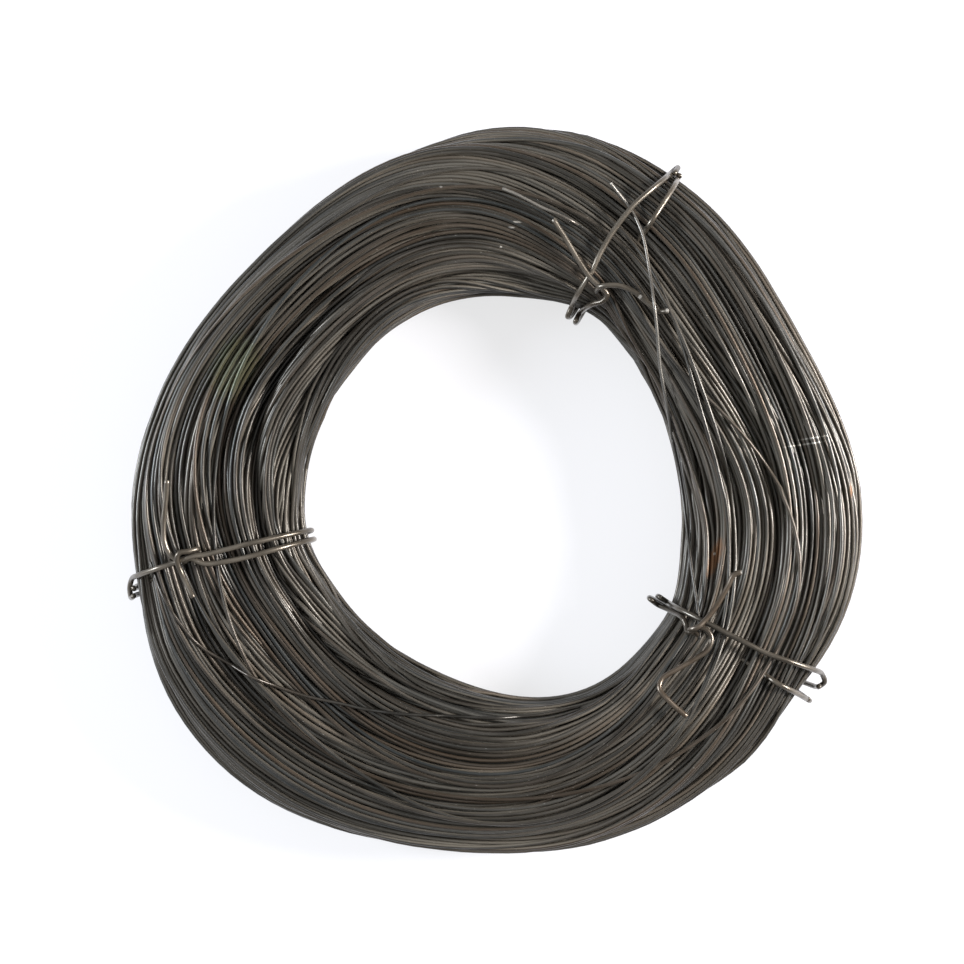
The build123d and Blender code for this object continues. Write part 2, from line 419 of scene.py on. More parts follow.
def buildTurns(section, depth, sunk, look, bands, w):
    # a few bands to a piece. Attributes hold each wire's own tones, its painted shade in the valleys, its
    # painted fill light in the gaps and its place along the wire.
    sides = w["sides"]
    full = w["wireDia"] / 2 / math.cos(math.pi / sides) ** 0.5   # as full as the round wire
    stations = bundle["stations"]
    around = np.linspace(0, 2 * math.pi, sides, endpoint=False)
    rng = np.random.default_rng(w["seed"] + 1)
    made = []
    points, faces, tones, places, count = [], [], [], [], 0
    for number, (start, end) in enumerate(bands):
        line = section[start:end].reshape(-1, 2)
        k = np.tile(np.arange(stations), end - start)
        rings = turnRings(line, k, full, sides)
        first = sum(len(p) for p in points)
        faces.append(tubeFaces(len(line), sides, first, True))
        points.append(rings.reshape(-1, 3))
        tone = 0.5 + smoothNoise(rng, len(line), stations / w["toneWaves"], w["toneSpread"])
        warm = 0.5 + smoothNoise(rng, len(line), stations / w["warmWaves"], w["warmSpread"])
        low = sunk[start:end].ravel()
        # painted fill light: deep turns, and the sides of each wire that face its neighbours, get a paler
        # colour where they lie in shade
        below = depth[start:end].ravel() - low - w["wireDia"] / 2
        deep = w["deepGapLight"] * np.clip((below - w["gapLightFrom"]) / w["gapLightDepth"], 0, 1)
        # painted shade: turns that lie deep in a valley are made darker and take less of the painted fill
        # light
        valley = np.clip((low - w["valleyShadeFrom"]) / w["valleyShadeOver"], 0, 1)
        tone = tone - w["valleyShade"] * valley
        outward = look[start:end].reshape(-1, 2) @ np.stack([np.cos(around), np.sin(around)])
        flank = w["flankGapLight"] * np.clip(1 - outward, 0, 1) ** w["flankCurve"]
        gapLit = np.maximum(deep[:, None], flank) * (1 - valley / 2)[:, None]
        along = np.arange(len(line)) * 2 * math.pi / stations * line[:, 0].mean()
        tones.append(np.stack([tone.repeat(sides), warm.repeat(sides), gapLit.ravel()], 1))
        girth = np.tile(around / (2 * math.pi), len(line))
        shift = np.full(len(girth), number * w["grainShift"])
        places.append(np.stack([along.repeat(sides), girth, shift], 1))
        count += end - start
        last = number == len(bands) - 1
        if last or count + bands[number + 1][1] - bands[number + 1][0] > w["turnsAPiece"]:
            quads = np.concatenate(faces)
            obj = meshObject("turns_%d" % (len(made) + 1), np.concatenate(points),
                             quads.ravel(), np.full(len(quads), 4))
            setAttribute(obj, "turnTone", "FLOAT_VECTOR", np.concatenate(tones))
            setAttribute(obj, "wirePlace", "FLOAT_VECTOR", np.concatenate(places))
            made.append(obj)
            points, faces, tones, places, count = [], [], [], [], 0
    return made


sunk = sampleAt(groove, station, paths)
turns = buildTurns(section, depth, sunk, look, bands, winding)
print("turns built:", len(turns), "pieces")


# the hidden turns inside the bundle, as one form below the turns that show, in colours paler than the wire
# that paint fill light into the gaps
def buildCore(edge, normal, top, step):
    line = edge - normal * top[..., None]
    stations, points = top.shape
    line = line[:, ::step]
    t = (2 * math.pi * np.arange(stations) / stations)[:, None]
    ring = np.stack([line[..., 0] * np.cos(t), line[..., 0] * np.sin(t), line[..., 1]], 2)
    quads = tubeFaces(stations, points // step, 0, True)
    return meshObject("inner_turns", ring.reshape(-1, 3), quads.ravel(), np.full(len(quads), 4))


core = buildCore(edge, normal, top, winding["coreStep"])


# single wires with their own route
trees = []
for piece in turns:
    trees.append(BVHTree.FromPolygons([v.co[:] for v in piece.data.vertices],
                                      [tuple(p.vertices) for p in piece.data.polygons]))


def turnsTop(x, y):
    # height of the highest turn at this place, or none beside the bundle
    best = None
    for tree in trees:
        hit = tree.ray_cast(Vector((x * mm, y * mm, bundle["overhead"])), Vector((0, 0, -1)))[0]
        if hit is not None and (best is None or hit.z / mm > best):
            best = hit.z / mm
    return best


def outsideTop(x, y):
    # height of the bundle's smooth outside here, level beyond its edges
    k = round(math.atan2(y, x) / (2 * math.pi) * bundle["stations"]) % bundle["stations"]
    quarter = bundle["points"] // 4
    upper = np.concatenate([edge[k, -quarter:], edge[k, :quarter]])
    return float(np.interp(math.hypot(x, y), upper[:, 0], upper[:, 1]))


def placeSeen(px, py, above):
    # a point above the bundle's outside where the photograph shows it, found in a few rounds
    height = bundle["usualTop"]
    for _ in range(4):
        p = seenAt(cam, camera, px, py, height)
        height = outsideTop(p.x, p.y) + above
    return Vector((p.x, p.y, height))


def wideSmooth(values, reach):
    # the highest value near each point of an open row, smoothed
    padded = np.pad(values, 2 * reach, mode="edge")
    wide = np.max([padded[k:len(padded) - 2 * reach + k] for k in range(2 * reach + 1)], axis=0)
    return np.mean([wide[k:k + len(values)] for k in range(2 * reach + 1)], axis=0)


def liftOver(line, points, tucked, radius, reach):
    # lifts a line clear of the turns below it, except by the points that are tucked under turns
    points, tucked = np.array([tuple(v) for v in points]), np.array(tucked)
    lift = np.zeros(len(line))
    for i, place in enumerate(line):
        near = np.linalg.norm(points - place, axis=1).argmin()
        if tucked[near] or place[2] < bundle["sideBelow"]:
            continue
        below = turnsTop(place[0], place[1])
        if below is not None:
            lift[i] = max(0, below + radius - place[2])
    line[:, 2] += wideSmooth(lift, reach)


def restOn(line, radius, reach):
    # lets a line down on the turns below it, so that it doesn't hang over a valley
    tops = np.array([turnsTop(x, y) or 0.0 for x, y, _ in line]) + radius
    line[:, 2] = np.minimum(line[:, 2], wideSmooth(tops, reach))


def smoothLine(points, step):
    # an even line through given points
    p = np.array([tuple(v) for v in points])
    ends = np.concatenate([[2 * p[0] - p[1]], p, [2 * p[-1] - p[-2]]])
    rows = []
    for i in range(1, len(ends) - 2):
        a, b, c, d = ends[i - 1:i + 3]
        # knots spaced by the root of the distance keep the line from looping at short steps
        k1 = np.linalg.norm(b - a) ** 0.5
        k2 = np.linalg.norm(c - b) ** 0.5
        k3 = np.linalg.norm(d - c) ** 0.5
        m1 = (b - a) / k1 - (c - a) / (k1 + k2) + (c - b) / k2
        m2 = (c - b) / k2 - (d - b) / (k2 + k3) + (d - c) / k3
        count = max(2, int(np.linalg.norm(c - b) / step))
        for s in np.arange(count) / count:
            toC = 3 * s ** 2 - 2 * s ** 3
            slopeB = s ** 3 - 2 * s ** 2 + s
            slopeC = s ** 3 - s ** 2
            rows.append((1 - toC) * b + toC * c + slopeB * k2 * m1 + slopeC * k2 * m2)
    rows.append(p[-1])
    return np.array(rows)


singleWire = {"tipWidth": 0.72, "tipLength": 0.25,        # shares of the wire's radius
              "toneStep": 60, "toneSpread": 0.15, "warmSpread": 0.2, "grainShift": 3.1}


def tubeObject(name, line, radius, sides, seed, s):
    # an open tube with rounded ends
    tangent = np.gradient(line, axis=0)
    tangent /= np.linalg.norm(tangent, axis=1)[:, None]
    side = np.cross(tangent[0], (0, 0, 1.0))
    a = np.linspace(0, 2 * math.pi, sides, endpoint=False)
    rings = []
    for p, d in zip(line, tangent):
        side = side - d * (side @ d)
        side /= np.linalg.norm(side)
        other = np.cross(d, side)
        rings.append(p + radius * (np.cos(a)[:, None] * side + np.sin(a)[:, None] * other))
    for end, d in ((0, -tangent[0]), (-1, tangent[-1])):
        middle = line[end]
        tip = middle + (rings[end] - middle) * s["tipWidth"] + d * radius * s["tipLength"]
        if end == 0:
            rings.insert(0, tip)
        else:
            rings.append(tip)
    rings = np.array(rings)
    quads = tubeFaces(len(rings), sides, 0, False)
    last = (len(rings) - 1) * sides
    caps = np.concatenate([np.arange(sides)[::-1], last + np.arange(sides)])
    obj = meshObject(name, rings.reshape(-1, 3), np.concatenate([quads.ravel(), caps]),
                     np.concatenate([np.full(len(quads), 4), [sides, sides]]))
    step = np.linalg.norm(np.diff(rings.mean(1), axis=0), axis=1)
    along = np.concatenate([[0], step.cumsum()])
    rng = np.random.default_rng(seed)
    tone = 0.5 + smoothNoise(rng, len(rings), s["toneStep"], s["toneSpread"])
    warm = 0.5 + smoothNoise(rng, len(rings), s["toneStep"], s["warmSpread"])
    around = np.tile(np.arange(sides) / sides, len(rings))
    shift = np.full(len(around), seed * s["grainShift"])
    setAttribute(obj, "turnTone", "FLOAT_VECTOR", np.stack([tone, warm, 0 * tone], 1).repeat(sides, 0))
    setAttribute(obj, "wirePlace", "FLOAT_VECTOR", np.stack([along.repeat(sides), around, shift], 1))
    return obj


# ties: each goes twice round the bundle. The points on top are pixels of the photograph with the
# height above the bundle's outside in mm, and a height below zero tucks the wire under turns. Slack
# is how far each loop stands off, in mm at the bore and at the rim.
ties = {
    "wireDia": 1.7,
    "sides": 12,
    "step": 0.7,              # mm along the wire
    "over": 0.15,             # mm clear of the bundle's outside where it goes round it
    "highest": 41.4,
    "liftReach": 5,           # points of its line over which a tie rises to pass over a turn
    "rimPlace": 0.25,         # shares of the way round the section
    "borePlace": 0.75,
    "loopFrom": 0.23,
    "loopTo": 0.77,
    "loopPoints": 19,
    "firstSeed": 1,
    "tie_wire_left": {
        "tailOne": ((167, 481, 4.2), (166, 495, 3.4), (163.6, 524, 2.6), (164.8, 543, 2.2),
                    (171, 555.5, 1.8)),
        "knotOne": ((180, 560, 1.0), (190, 558.5, 0.6)),
        "inOne": ((205, 563.6, 0.9), (234, 560, 0.9), (275, 549.5, 0.9), (301, 542.5, 0.6)),
        "outWhole": ((131, 597, -4.0), (129.8, 588, -1.4), (131.5, 580, 0.2), (139, 575, 0.9),
                     (156.4, 568.7, 0.9), (173.3, 563.2, 0.9)),
        "inWhole": ((192.7, 556, 2.2), (204.8, 554.5, 1.4), (253.3, 542.6, 0.9), (297, 533, 0.6)),
        "outTwo": ((136, 588, -9.0), (148, 582, -6.5), (168, 571, -5.4), (188, 560, -4.0)),
        "knotTwo": ((198, 549, 0.6), (188, 551.5, 2.8), (179, 553, 3.4)),
        "tailTwo": ((176.8, 560, 3.0), (181, 572, 2.0), (187, 585, 2.2), (193, 597, 2.8)),
        "slackOne": (0.6, 0.1), "slackTwo": (0.5, 0.0),
    },
    "tie_wire_top": {
        "tailOne": ((553.8, 219.5, 3.6), (556.5, 224.5, 3.4), (564.6, 236.9, 2.8), (579.5, 261.8, 2.2),
                    (591.9, 279.2, 2.2)),
        "knotOne": ((602, 288, 2.2), (607.5, 295, 1.6), (602, 301.5, 1.3)),
        "inOne": ((596, 303, 1.2), (589.5, 305.5, 1.0), (579.5, 313.5, 0.2)),
        "outWhole": ((677.8, 167.5, -2.4), (671, 173, 0.9), (664, 179, 1.4), (654.1, 187.2, 1.8),
                     (634.2, 204.6, 2.3), (614.3, 229.5, 1.6), (598, 257.5, 1.3)),
        "inWhole": ((593.2, 268.5, 0.9), (586, 281, 1.2), (577, 295, 0.8), (572, 306, -0.4)),
        "outTwo": ((678.5, 177.5, -1.6), (674, 186, 0.9), (664.1, 202.1, 1.0), (652, 220.5, 0.6),
                   (645, 231, -2.2), (634, 246, -5.4), (612, 273, -5.4)),
        "knotTwo": ((597, 291, -1.2), (599, 287.2, 2.6)),
        "tailTwo": ((606, 285.4, 3.2), (619.3, 285.8, 2.6), (634.2, 291.8, 2.2), (649.2, 304.1, 2.2),
                    (659.1, 311.2, 2.8), (667.8, 310.8, 3.8)),
        "slackOne": (2.4, 0.4), "slackTwo": (1.6, 0.4),
    },
    "tie_wire_right": {
        "tailOne": ((686.5, 716.3, 3.4), (669.5, 701.4, 2.8), (659.5, 689, 2.4), (662, 679, 2.2),
                    (676.5, 669.5, 1.8), (693.9, 659.5, 1.6), (708, 649.2, 1.6), (711.6, 638.5, 1.8),
                    (706, 629.3, 2.4)),
        "knotOne": ((698, 627.5, 2.8), (688, 632.5, 1.4), (686, 625, 0.9)),
        "inOne": ((683, 618.5, 1.4), (669.1, 609.8, 1.4), (658.5, 605, 0.6)),
        "outWhole": ((819, 686.5, -3.8), (824.5, 682, -1.8), (822.5, 675, 0.4), (813.3, 669.5, 0.9),
                     (793.4, 662.8, 1.2), (766.1, 652.9, 1.3), (743.7, 641.7, 1.3), (728.8, 634.2, 1.2)),
        "inWhole": ((716, 627.5, 1.2), (701.4, 620.2, 1.5), (679, 608.8, 1.4), (667, 602, 0.5)),
        "outTwo": ((809.6, 700.6, -0.8), (800, 695, 0.5), (788.5, 689, 0.9), (776, 682.3, 0.4),
                   (765, 675, -2.6), (740, 658, -5.6), (712, 640, -5.4)),
        "knotTwo": ((696, 634, -1.4), (690, 629.5, 2.6)),
        "tailTwo": ((697, 627.5, 3.6), (704, 621.5, 3.0), (716.3, 606.5, 2.4), (728.8, 584.5, 2.2),
                    (733.7, 575, 2.4), (741.2, 572, 2.8)),
        "slackOne": (5.6, 1.6), "slackTwo": (3.0, 1.0),
    },
}


def roundBundle(start, end, slack, t):
    # points from the rim side under the bundle to the bore side, or back, clear of the outside
    points = []
    bore, rim = slack
    for s in np.linspace(0, 1, t["loopPoints"]):
        share = t["loopFrom"] + (t["loopTo"] - t["loopFrom"]) * s
        angle = math.atan2(start.y, start.x)
        turn = (math.atan2(end.y, end.x) - angle + math.pi) % (2 * math.pi) - math.pi
        angle += turn * s
        k = np.array(round(angle / (2 * math.pi) * bundle["stations"]) % bundle["stations"])
        place = sampleAt(edge, k, np.array(share))
        look = sampleAt(normal, k, np.array(share))
        loose = bore * max(0.0, math.cos((share - t["borePlace"]) * 2 * math.pi)) ** 2
        loose += rim * max(0.0, math.cos((share - t["rimPlace"]) * 2 * math.pi)) ** 2
        place = place + look * (t["wireDia"] / 2 + t["over"] + loose)
        up = max(place[1], t["wireDia"] / 2)
        points.append(Vector((place[0] * math.cos(angle), place[0] * math.sin(angle), up)))
    return points


def buildTie(name, t, seed):
    row = {part: [placeSeen(*p) for p in seen]
           for part, seen in t[name].items() if not part.startswith("slack")}
    loopOne = roundBundle(row["outWhole"][0], row["inOne"][-1], t[name]["slackOne"], t)[::-1]
    loopTwo = roundBundle(row["outTwo"][0], row["inWhole"][-1], t[name]["slackTwo"], t)[::-1]
    parts = [row["tailOne"], row["knotOne"], row["inOne"], loopOne, row["outWhole"], row["inWhole"],
             loopTwo, row["outTwo"], row["knotTwo"], row["tailTwo"]]
    points = [p for part in parts for p in part]
    low = {tuple(p) for part in row for p, seen in zip(row[part], t[name][part]) if seen[2] < 0}
    line = smoothLine(points, t["step"])
    radius = t["wireDia"] / 2
    liftOver(line, points, [tuple(p) in low for p in points], radius, t["liftReach"])
    line[:, 2] = np.clip(line[:, 2], radius, t["highest"] - radius)
    return tubeObject(name.replace("wire", "dressed"), line, radius, t["sides"], seed, singleWire)


tiePieces = {}
for seed, name in enumerate(("tie_wire_left", "tie_wire_top", "tie_wire_right"), ties["firstSeed"]):
    tiePieces[name] = buildTie(name, ties, seed)
print("ties built")


# the coil's own loose ends, which stand a little proud and then run on with the other turns, and
# two turns that cross the others. Their points are given as the ties' are.
looseEnds = {
    "wireDia": 1.0,
    "sides": 8,
    "step": 0.8,
    "liftReach": 3,
    "stands": 0.9,            # share of its radius that a wire stands above the turns it lies on
    "restOn": ("crossingLow",),   # let down on the turns below it
    "seeds": {"looseEnd": 5, "crossing": 9},
    "looseEndOne": ((610.6, 183.4, 2.8), (619, 194, 1.7), (629.3, 207, 0.6), (641.7, 232, 1.6),
                    (649.2, 269, 2.0), (654.1, 304, 4.6), (657, 330, 3.0), (658, 344, 1.6), (660.5, 369, 0.6),
                    (665.3, 396, 0.0), (669, 418, -1.2), (672, 440, -3.2)),
    "looseEndTwo": ((502.5, 188.5, 2.2), (515, 193.5, 1.6), (528, 200, 1.2), (541, 207, 1.0),
                    (562.1, 216, 0.9), (572, 221.5, 0.3), (580, 226, -2.4), (592, 233, -5.4)),
    "crossingLow": ((150, 560, -2.4), (156, 578, -0.6), (161, 591.5, 0.3), (178, 620.6, 0.6), (200, 647, 0.7),
                    (221.8, 660.6, 0.7), (246, 674, 0.7), (280, 688.4, 0.7), (309, 698, 0.7),
                    (338, 704, 0.7), (367, 710, 0.6), (401, 714, 0.6), (435, 716.3, 0.5), (498, 718.7, 0.2),
                    (540, 716, -0.8), (580, 708, -2.4)),
    "crossingRight": ((672, 440, -2.4), (678, 470, -0.6), (683, 500, 0.3), (687, 530, 0.6), (690.6, 560, 0.6),
                      (695, 590, 0.5), (698, 612, -0.6), (700, 640, -2.4)),
}


def buildLooseEnd(name, e, seed):
    points = [placeSeen(*p) for p in e[name]]
    line = smoothLine(points, e["step"])
    radius = e["wireDia"] / 2
    liftOver(line, points, [p[2] < 0 for p in e[name]], radius * e["stands"], e["liftReach"])
    if name in e["restOn"]:
        restOn(line, radius * e["stands"], e["liftReach"])
    return tubeObject(name, line, radius, e["sides"], seed, singleWire)


def buildKind(kind, e):
    # every wire whose name begins with this word
    names = [name for name in e if name.startswith(kind)]
    return [buildLooseEnd(name, e, seed) for seed, name in enumerate(names, e["seeds"][kind])]


endPieces = buildKind("looseEnd", looseEnds)
crossings = buildKind("crossing", looseEnds)
print("loose ends and crossing wires built")


# materials
def newGroup(name, inputs, outputs):
    group = bpy.data.node_groups.new(name, "ShaderNodeTree")
    for label, kind, value in inputs:
        socket = group.interface.new_socket(label, in_out="INPUT", socket_type=kind)
        socket.default_value = value
    for label, kind in outputs:
        group.interface.new_socket(label, in_out="OUTPUT", socket_type=kind)
    return group, group.nodes.new("NodeGroupInput"), group.nodes.new("NodeGroupOutput")


def addNode(tree, kind, settings=None, links=None):
    node = tree.nodes.new(kind)
    for key, value in (settings or {}).items():
        if isinstance(key, str) and hasattr(node, key):
            setattr(node, key, value)
        else:
            node.inputs[key].default_value = value
    for key, source in (links or {}).items():
        tree.links.new(source, node.inputs[key])
    return node


def mathNode(tree, operation, a, b=None, clamp=False):
    node = tree.nodes.new("ShaderNodeMath")
    node.operation = operation
    node.use_clamp = clamp
    for socket, value in zip(node.inputs, (a, b)):
        if isinstance(value, (int, float)):
            socket.default_value = value
        elif value is not None:
            tree.links.new(value, socket)
    return node.outputs[0]


def rampNode(tree, source, low, high):
    node = addNode(tree, "ShaderNodeMapRange", {"From Min": low, "From Max": high})
    node.interpolation_type = "SMOOTHSTEP"
    tree.links.new(source, node.inputs["Value"])
    return node.outputs["Result"]


def mixColor(tree, share, a, b, blend="MIX"):
    node = tree.nodes.new("ShaderNodeMix")
    node.data_type = "RGBA"
    node.blend_type = blend
    for key, value in ((0, share), (6, a), (7, b)):
        if isinstance(value, (int, float)):
            node.inputs[key].default_value = value
        elif isinstance(value, tuple):
            node.inputs[key].default_value = (*value, 1)
        else:
            tree.links.new(value, node.inputs[key])
    return node.outputs[2]


def makeDrawnGrain():
    # fine lines along the wire and uneven mill scale, from the wire's own length and girth
    group, into, out = newGroup("drawnGrain", [("Line Scale", "NodeSocketFloat", 1.0)],
                                [("Lines", "NodeSocketFloat"), ("Scale Patches", "NodeSocketFloat"),
                                 ("Flecks", "NodeSocketFloat")])
    place = addNode(group, "ShaderNodeAttribute", {"attribute_name": "wirePlace"})
    parts = addNode(group, "ShaderNodeSeparateXYZ", links={0: place.outputs["Vector"]})
    around = mathNode(group, "MULTIPLY", parts.outputs[1], 2 * math.pi)
    ring = [mathNode(group, kind, around) for kind in ("COSINE", "SINE")]

    def noise(stretch, girth, detail):
        # the wire rolled out: its length squeezed by stretch, its girth kept closed on itself
        along = mathNode(group, "MULTIPLY", parts.outputs[0], stretch)
        along = mathNode(group, "ADD", along, parts.outputs[2])
        sides = [mathNode(group, "MULTIPLY", r, girth) for r in ring]
        vector = addNode(group, "ShaderNodeCombineXYZ", links={0: along, 1: sides[0], 2: sides[1]})
        node = addNode(group, "ShaderNodeTexNoise", {"Scale": 1.0, "Detail": detail},
                       {"Vector": vector.outputs[0]})
        return node.outputs["Fac"]

    lines = noise(stretch=0.22, girth=2.4, detail=3.0)
    scale = noise(stretch=0.09, girth=0.4, detail=4.0)
    flecks = noise(stretch=1.1, girth=1.2, detail=2.0)
    group.links.new(mathNode(group, "MULTIPLY", lines, into.outputs["Line Scale"]), out.inputs["Lines"])
    group.links.new(rampNode(group, scale, low=0.36, high=0.64), out.inputs["Scale Patches"])
    group.links.new(rampNode(group, flecks, low=0.69, high=0.76), out.inputs["Flecks"])
    return group


def makeStain():
    # a soft-edged patch round one place on the coil, longer along the turns than across them
    group, into, out = newGroup("stainPatch", [("Place", "NodeSocketVector", (0, 0, 0)),
                                               ("Across", "NodeSocketFloat", 0.003),
                                               ("Along", "NodeSocketFloat", 0.006),
                                               ("Broken", "NodeSocketFloat", 0.5)],
                                [("Mask", "NodeSocketFloat")])
    here = addNode(group, "ShaderNodeNewGeometry").outputs["Position"]
    apart = addNode(group, "ShaderNodeVectorMath", {"operation": "SUBTRACT"}, {0: here})
    group.links.new(into.outputs["Place"], apart.inputs[1])
    away = addNode(group, "ShaderNodeVectorMath", {"operation": "MULTIPLY", 1: (1, 1, 0)},
                   {0: apart.outputs[0]})
    level = addNode(group, "ShaderNodeVectorMath", {"operation": "MULTIPLY", 1: (1, 1, 0)},
                    {0: into.outputs["Place"]})
    outward = addNode(group, "ShaderNodeVectorMath", {"operation": "NORMALIZE"}, {0: level.outputs[0]})
    across = addNode(group, "ShaderNodeVectorMath", {"operation": "DOT_PRODUCT"},
                     {0: away.outputs[0], 1: outward.outputs[0]}).outputs["Value"]
    whole = addNode(group, "ShaderNodeVectorMath", {"operation": "LENGTH"}, {0: away.outputs[0]})
    square = mathNode(group, "MULTIPLY", across, across)
    full = mathNode(group, "MULTIPLY", whole.outputs["Value"], whole.outputs["Value"])
    along = mathNode(group, "SUBTRACT", full, square)
    shares = []
    for part, size in ((square, into.outputs["Across"]), (along, into.outputs["Along"])):
        shares.append(mathNode(group, "DIVIDE", part, mathNode(group, "MULTIPLY", size, size)))
    reach = mathNode(group, "SQRT", mathNode(group, "ADD", *shares))
    noise = addNode(group, "ShaderNodeTexNoise", {"Scale": 900.0, "Detail": 3.0}, {"Vector": here})
    ragged = mathNode(group, "MULTIPLY", mathNode(group, "SUBTRACT", noise.outputs["Fac"], 0.5),
                      mathNode(group, "MULTIPLY", into.outputs["Broken"], 3.0))
    mask = rampNode(group, mathNode(group, "ADD", reach, ragged), low=1.25, high=0.55)
    group.links.new(mask, out.inputs["Mask"])
    return group


drawnGrain = makeDrawnGrain()
stainPatch = makeStain()


def groupNode(tree, group, **values):
    node = tree.nodes.new("ShaderNodeGroup")
    node.node_tree = group
    for key, value in values.items():
        node.inputs[key.replace("_", " ")].default_value = value
    return node


finishes = {
    "coilDark": (0.0180, 0.0163, 0.0135), "coilLight": (0.046, 0.0415, 0.035),
    "coilWarm": (0.056, 0.036, 0.021), "coilCool": (0.029, 0.037, 0.041),
    # painted fill light: the paler, browner colour of deep turns and shaded wire flanks, and the pale colours
    # of the hidden core, stand in for light in the gaps
    "gapLight": (0.145, 0.129, 0.105), "coreFillDark": (0.045, 0.041, 0.034), "coreFillLight": (0.225, 0.203, 0.169),
    "tieDark": (0.036, 0.029, 0.021), "tieLight": (0.150, 0.130, 0.104),
    "endDark": (0.085, 0.081, 0.073), "endLight": (0.220, 0.211, 0.193),
    "coilRough": 0.42, "tieRough": 0.31, "endRough": 0.38,
    "rust": (0.170, 0.074, 0.022), "green": (0.070, 0.080, 0.030), "bareAndGlint": (0.56, 0.54, 0.50),
    "patches": (   # colour, pixel in the photograph, mm across, mm along, how broken, strength
        ("rust", 715.6, 558, 1.7, 6.2, 0.25, 0.85),
        ("rust", 852, 489, 0.7, 2.4, 0.25, 0.9),
        ("green", 234, 366, 7.0, 11.0, 0.3, 0.42),
        ("bareAndGlint", 815, 437.5, 4.6, 0.28, 0.4, 0.6),
        ("bareAndGlint", 808, 443.8, 6.4, 0.28, 0.4, 0.6),
        ("bareAndGlint", 517.3, 221.5, 0.3, 1.3, 0.3, 0.6),
        ("bareAndGlint", 511, 227, 0.3, 1.1, 0.3, 0.5),
        ("bareAndGlint", 501, 246, 0.3, 0.4, 0.0, 0.6),
        ("bareAndGlint", 441, 186.7, 0.4, 0.5, 0.4, 0.6),
        ("bareAndGlint", 715.6, 554, 0.4, 0.5, 0.0, 1.0),
    ),
    "tieCutsAndGlint": (   # bright cut ends of the ties, and a painted highlight where one tail slopes, given in the same way
        ("bareAndGlint", 741.4, 571.8, 0.7, 0.7, 0.1, 0.8),
        ("bareAndGlint", 667.0, 311.0, 0.9, 0.7, 0.1, 0.8),
        # painted highlight on the sloping part of a tail, in the bare metal colour
        ("bareAndGlint", 639.5, 297.5, 0.8, 0.5, 0.2, 0.6),
    ),
    "endCuts": (("bareAndGlint", 610.8, 183.6, 0.7, 0.7, 0.0, 0.9),),
}


# how much each effect takes in a wire's look
wireLook = {
    "grain": 1.0,             # strength of the drawn lines wherever they show
    "tone": 0.75, "scale": 0.5, "lines": 0.55, "darkest": 0.42,   # how light the wire is along its length
    # how far the painted fill light takes over the colour of deep turns and shaded flanks, and how much less
    # metallic it makes them
    "warm": 0.65, "cool": 0.45, "gapLight": 0.75, "flecks": 0.28,
    "metal": 0.6, "metalUnderGapLight": 0.5, "metalUnderRust": 0.7, "rustRough": 0.4, "lineRough": 0.2,
    "coat": 0.45, "coatLeast": 0.1, "coatRough": 0.28, "bump": 0.35, "bumpDepth": 0.00008, "scaleBump": 0.3,
}


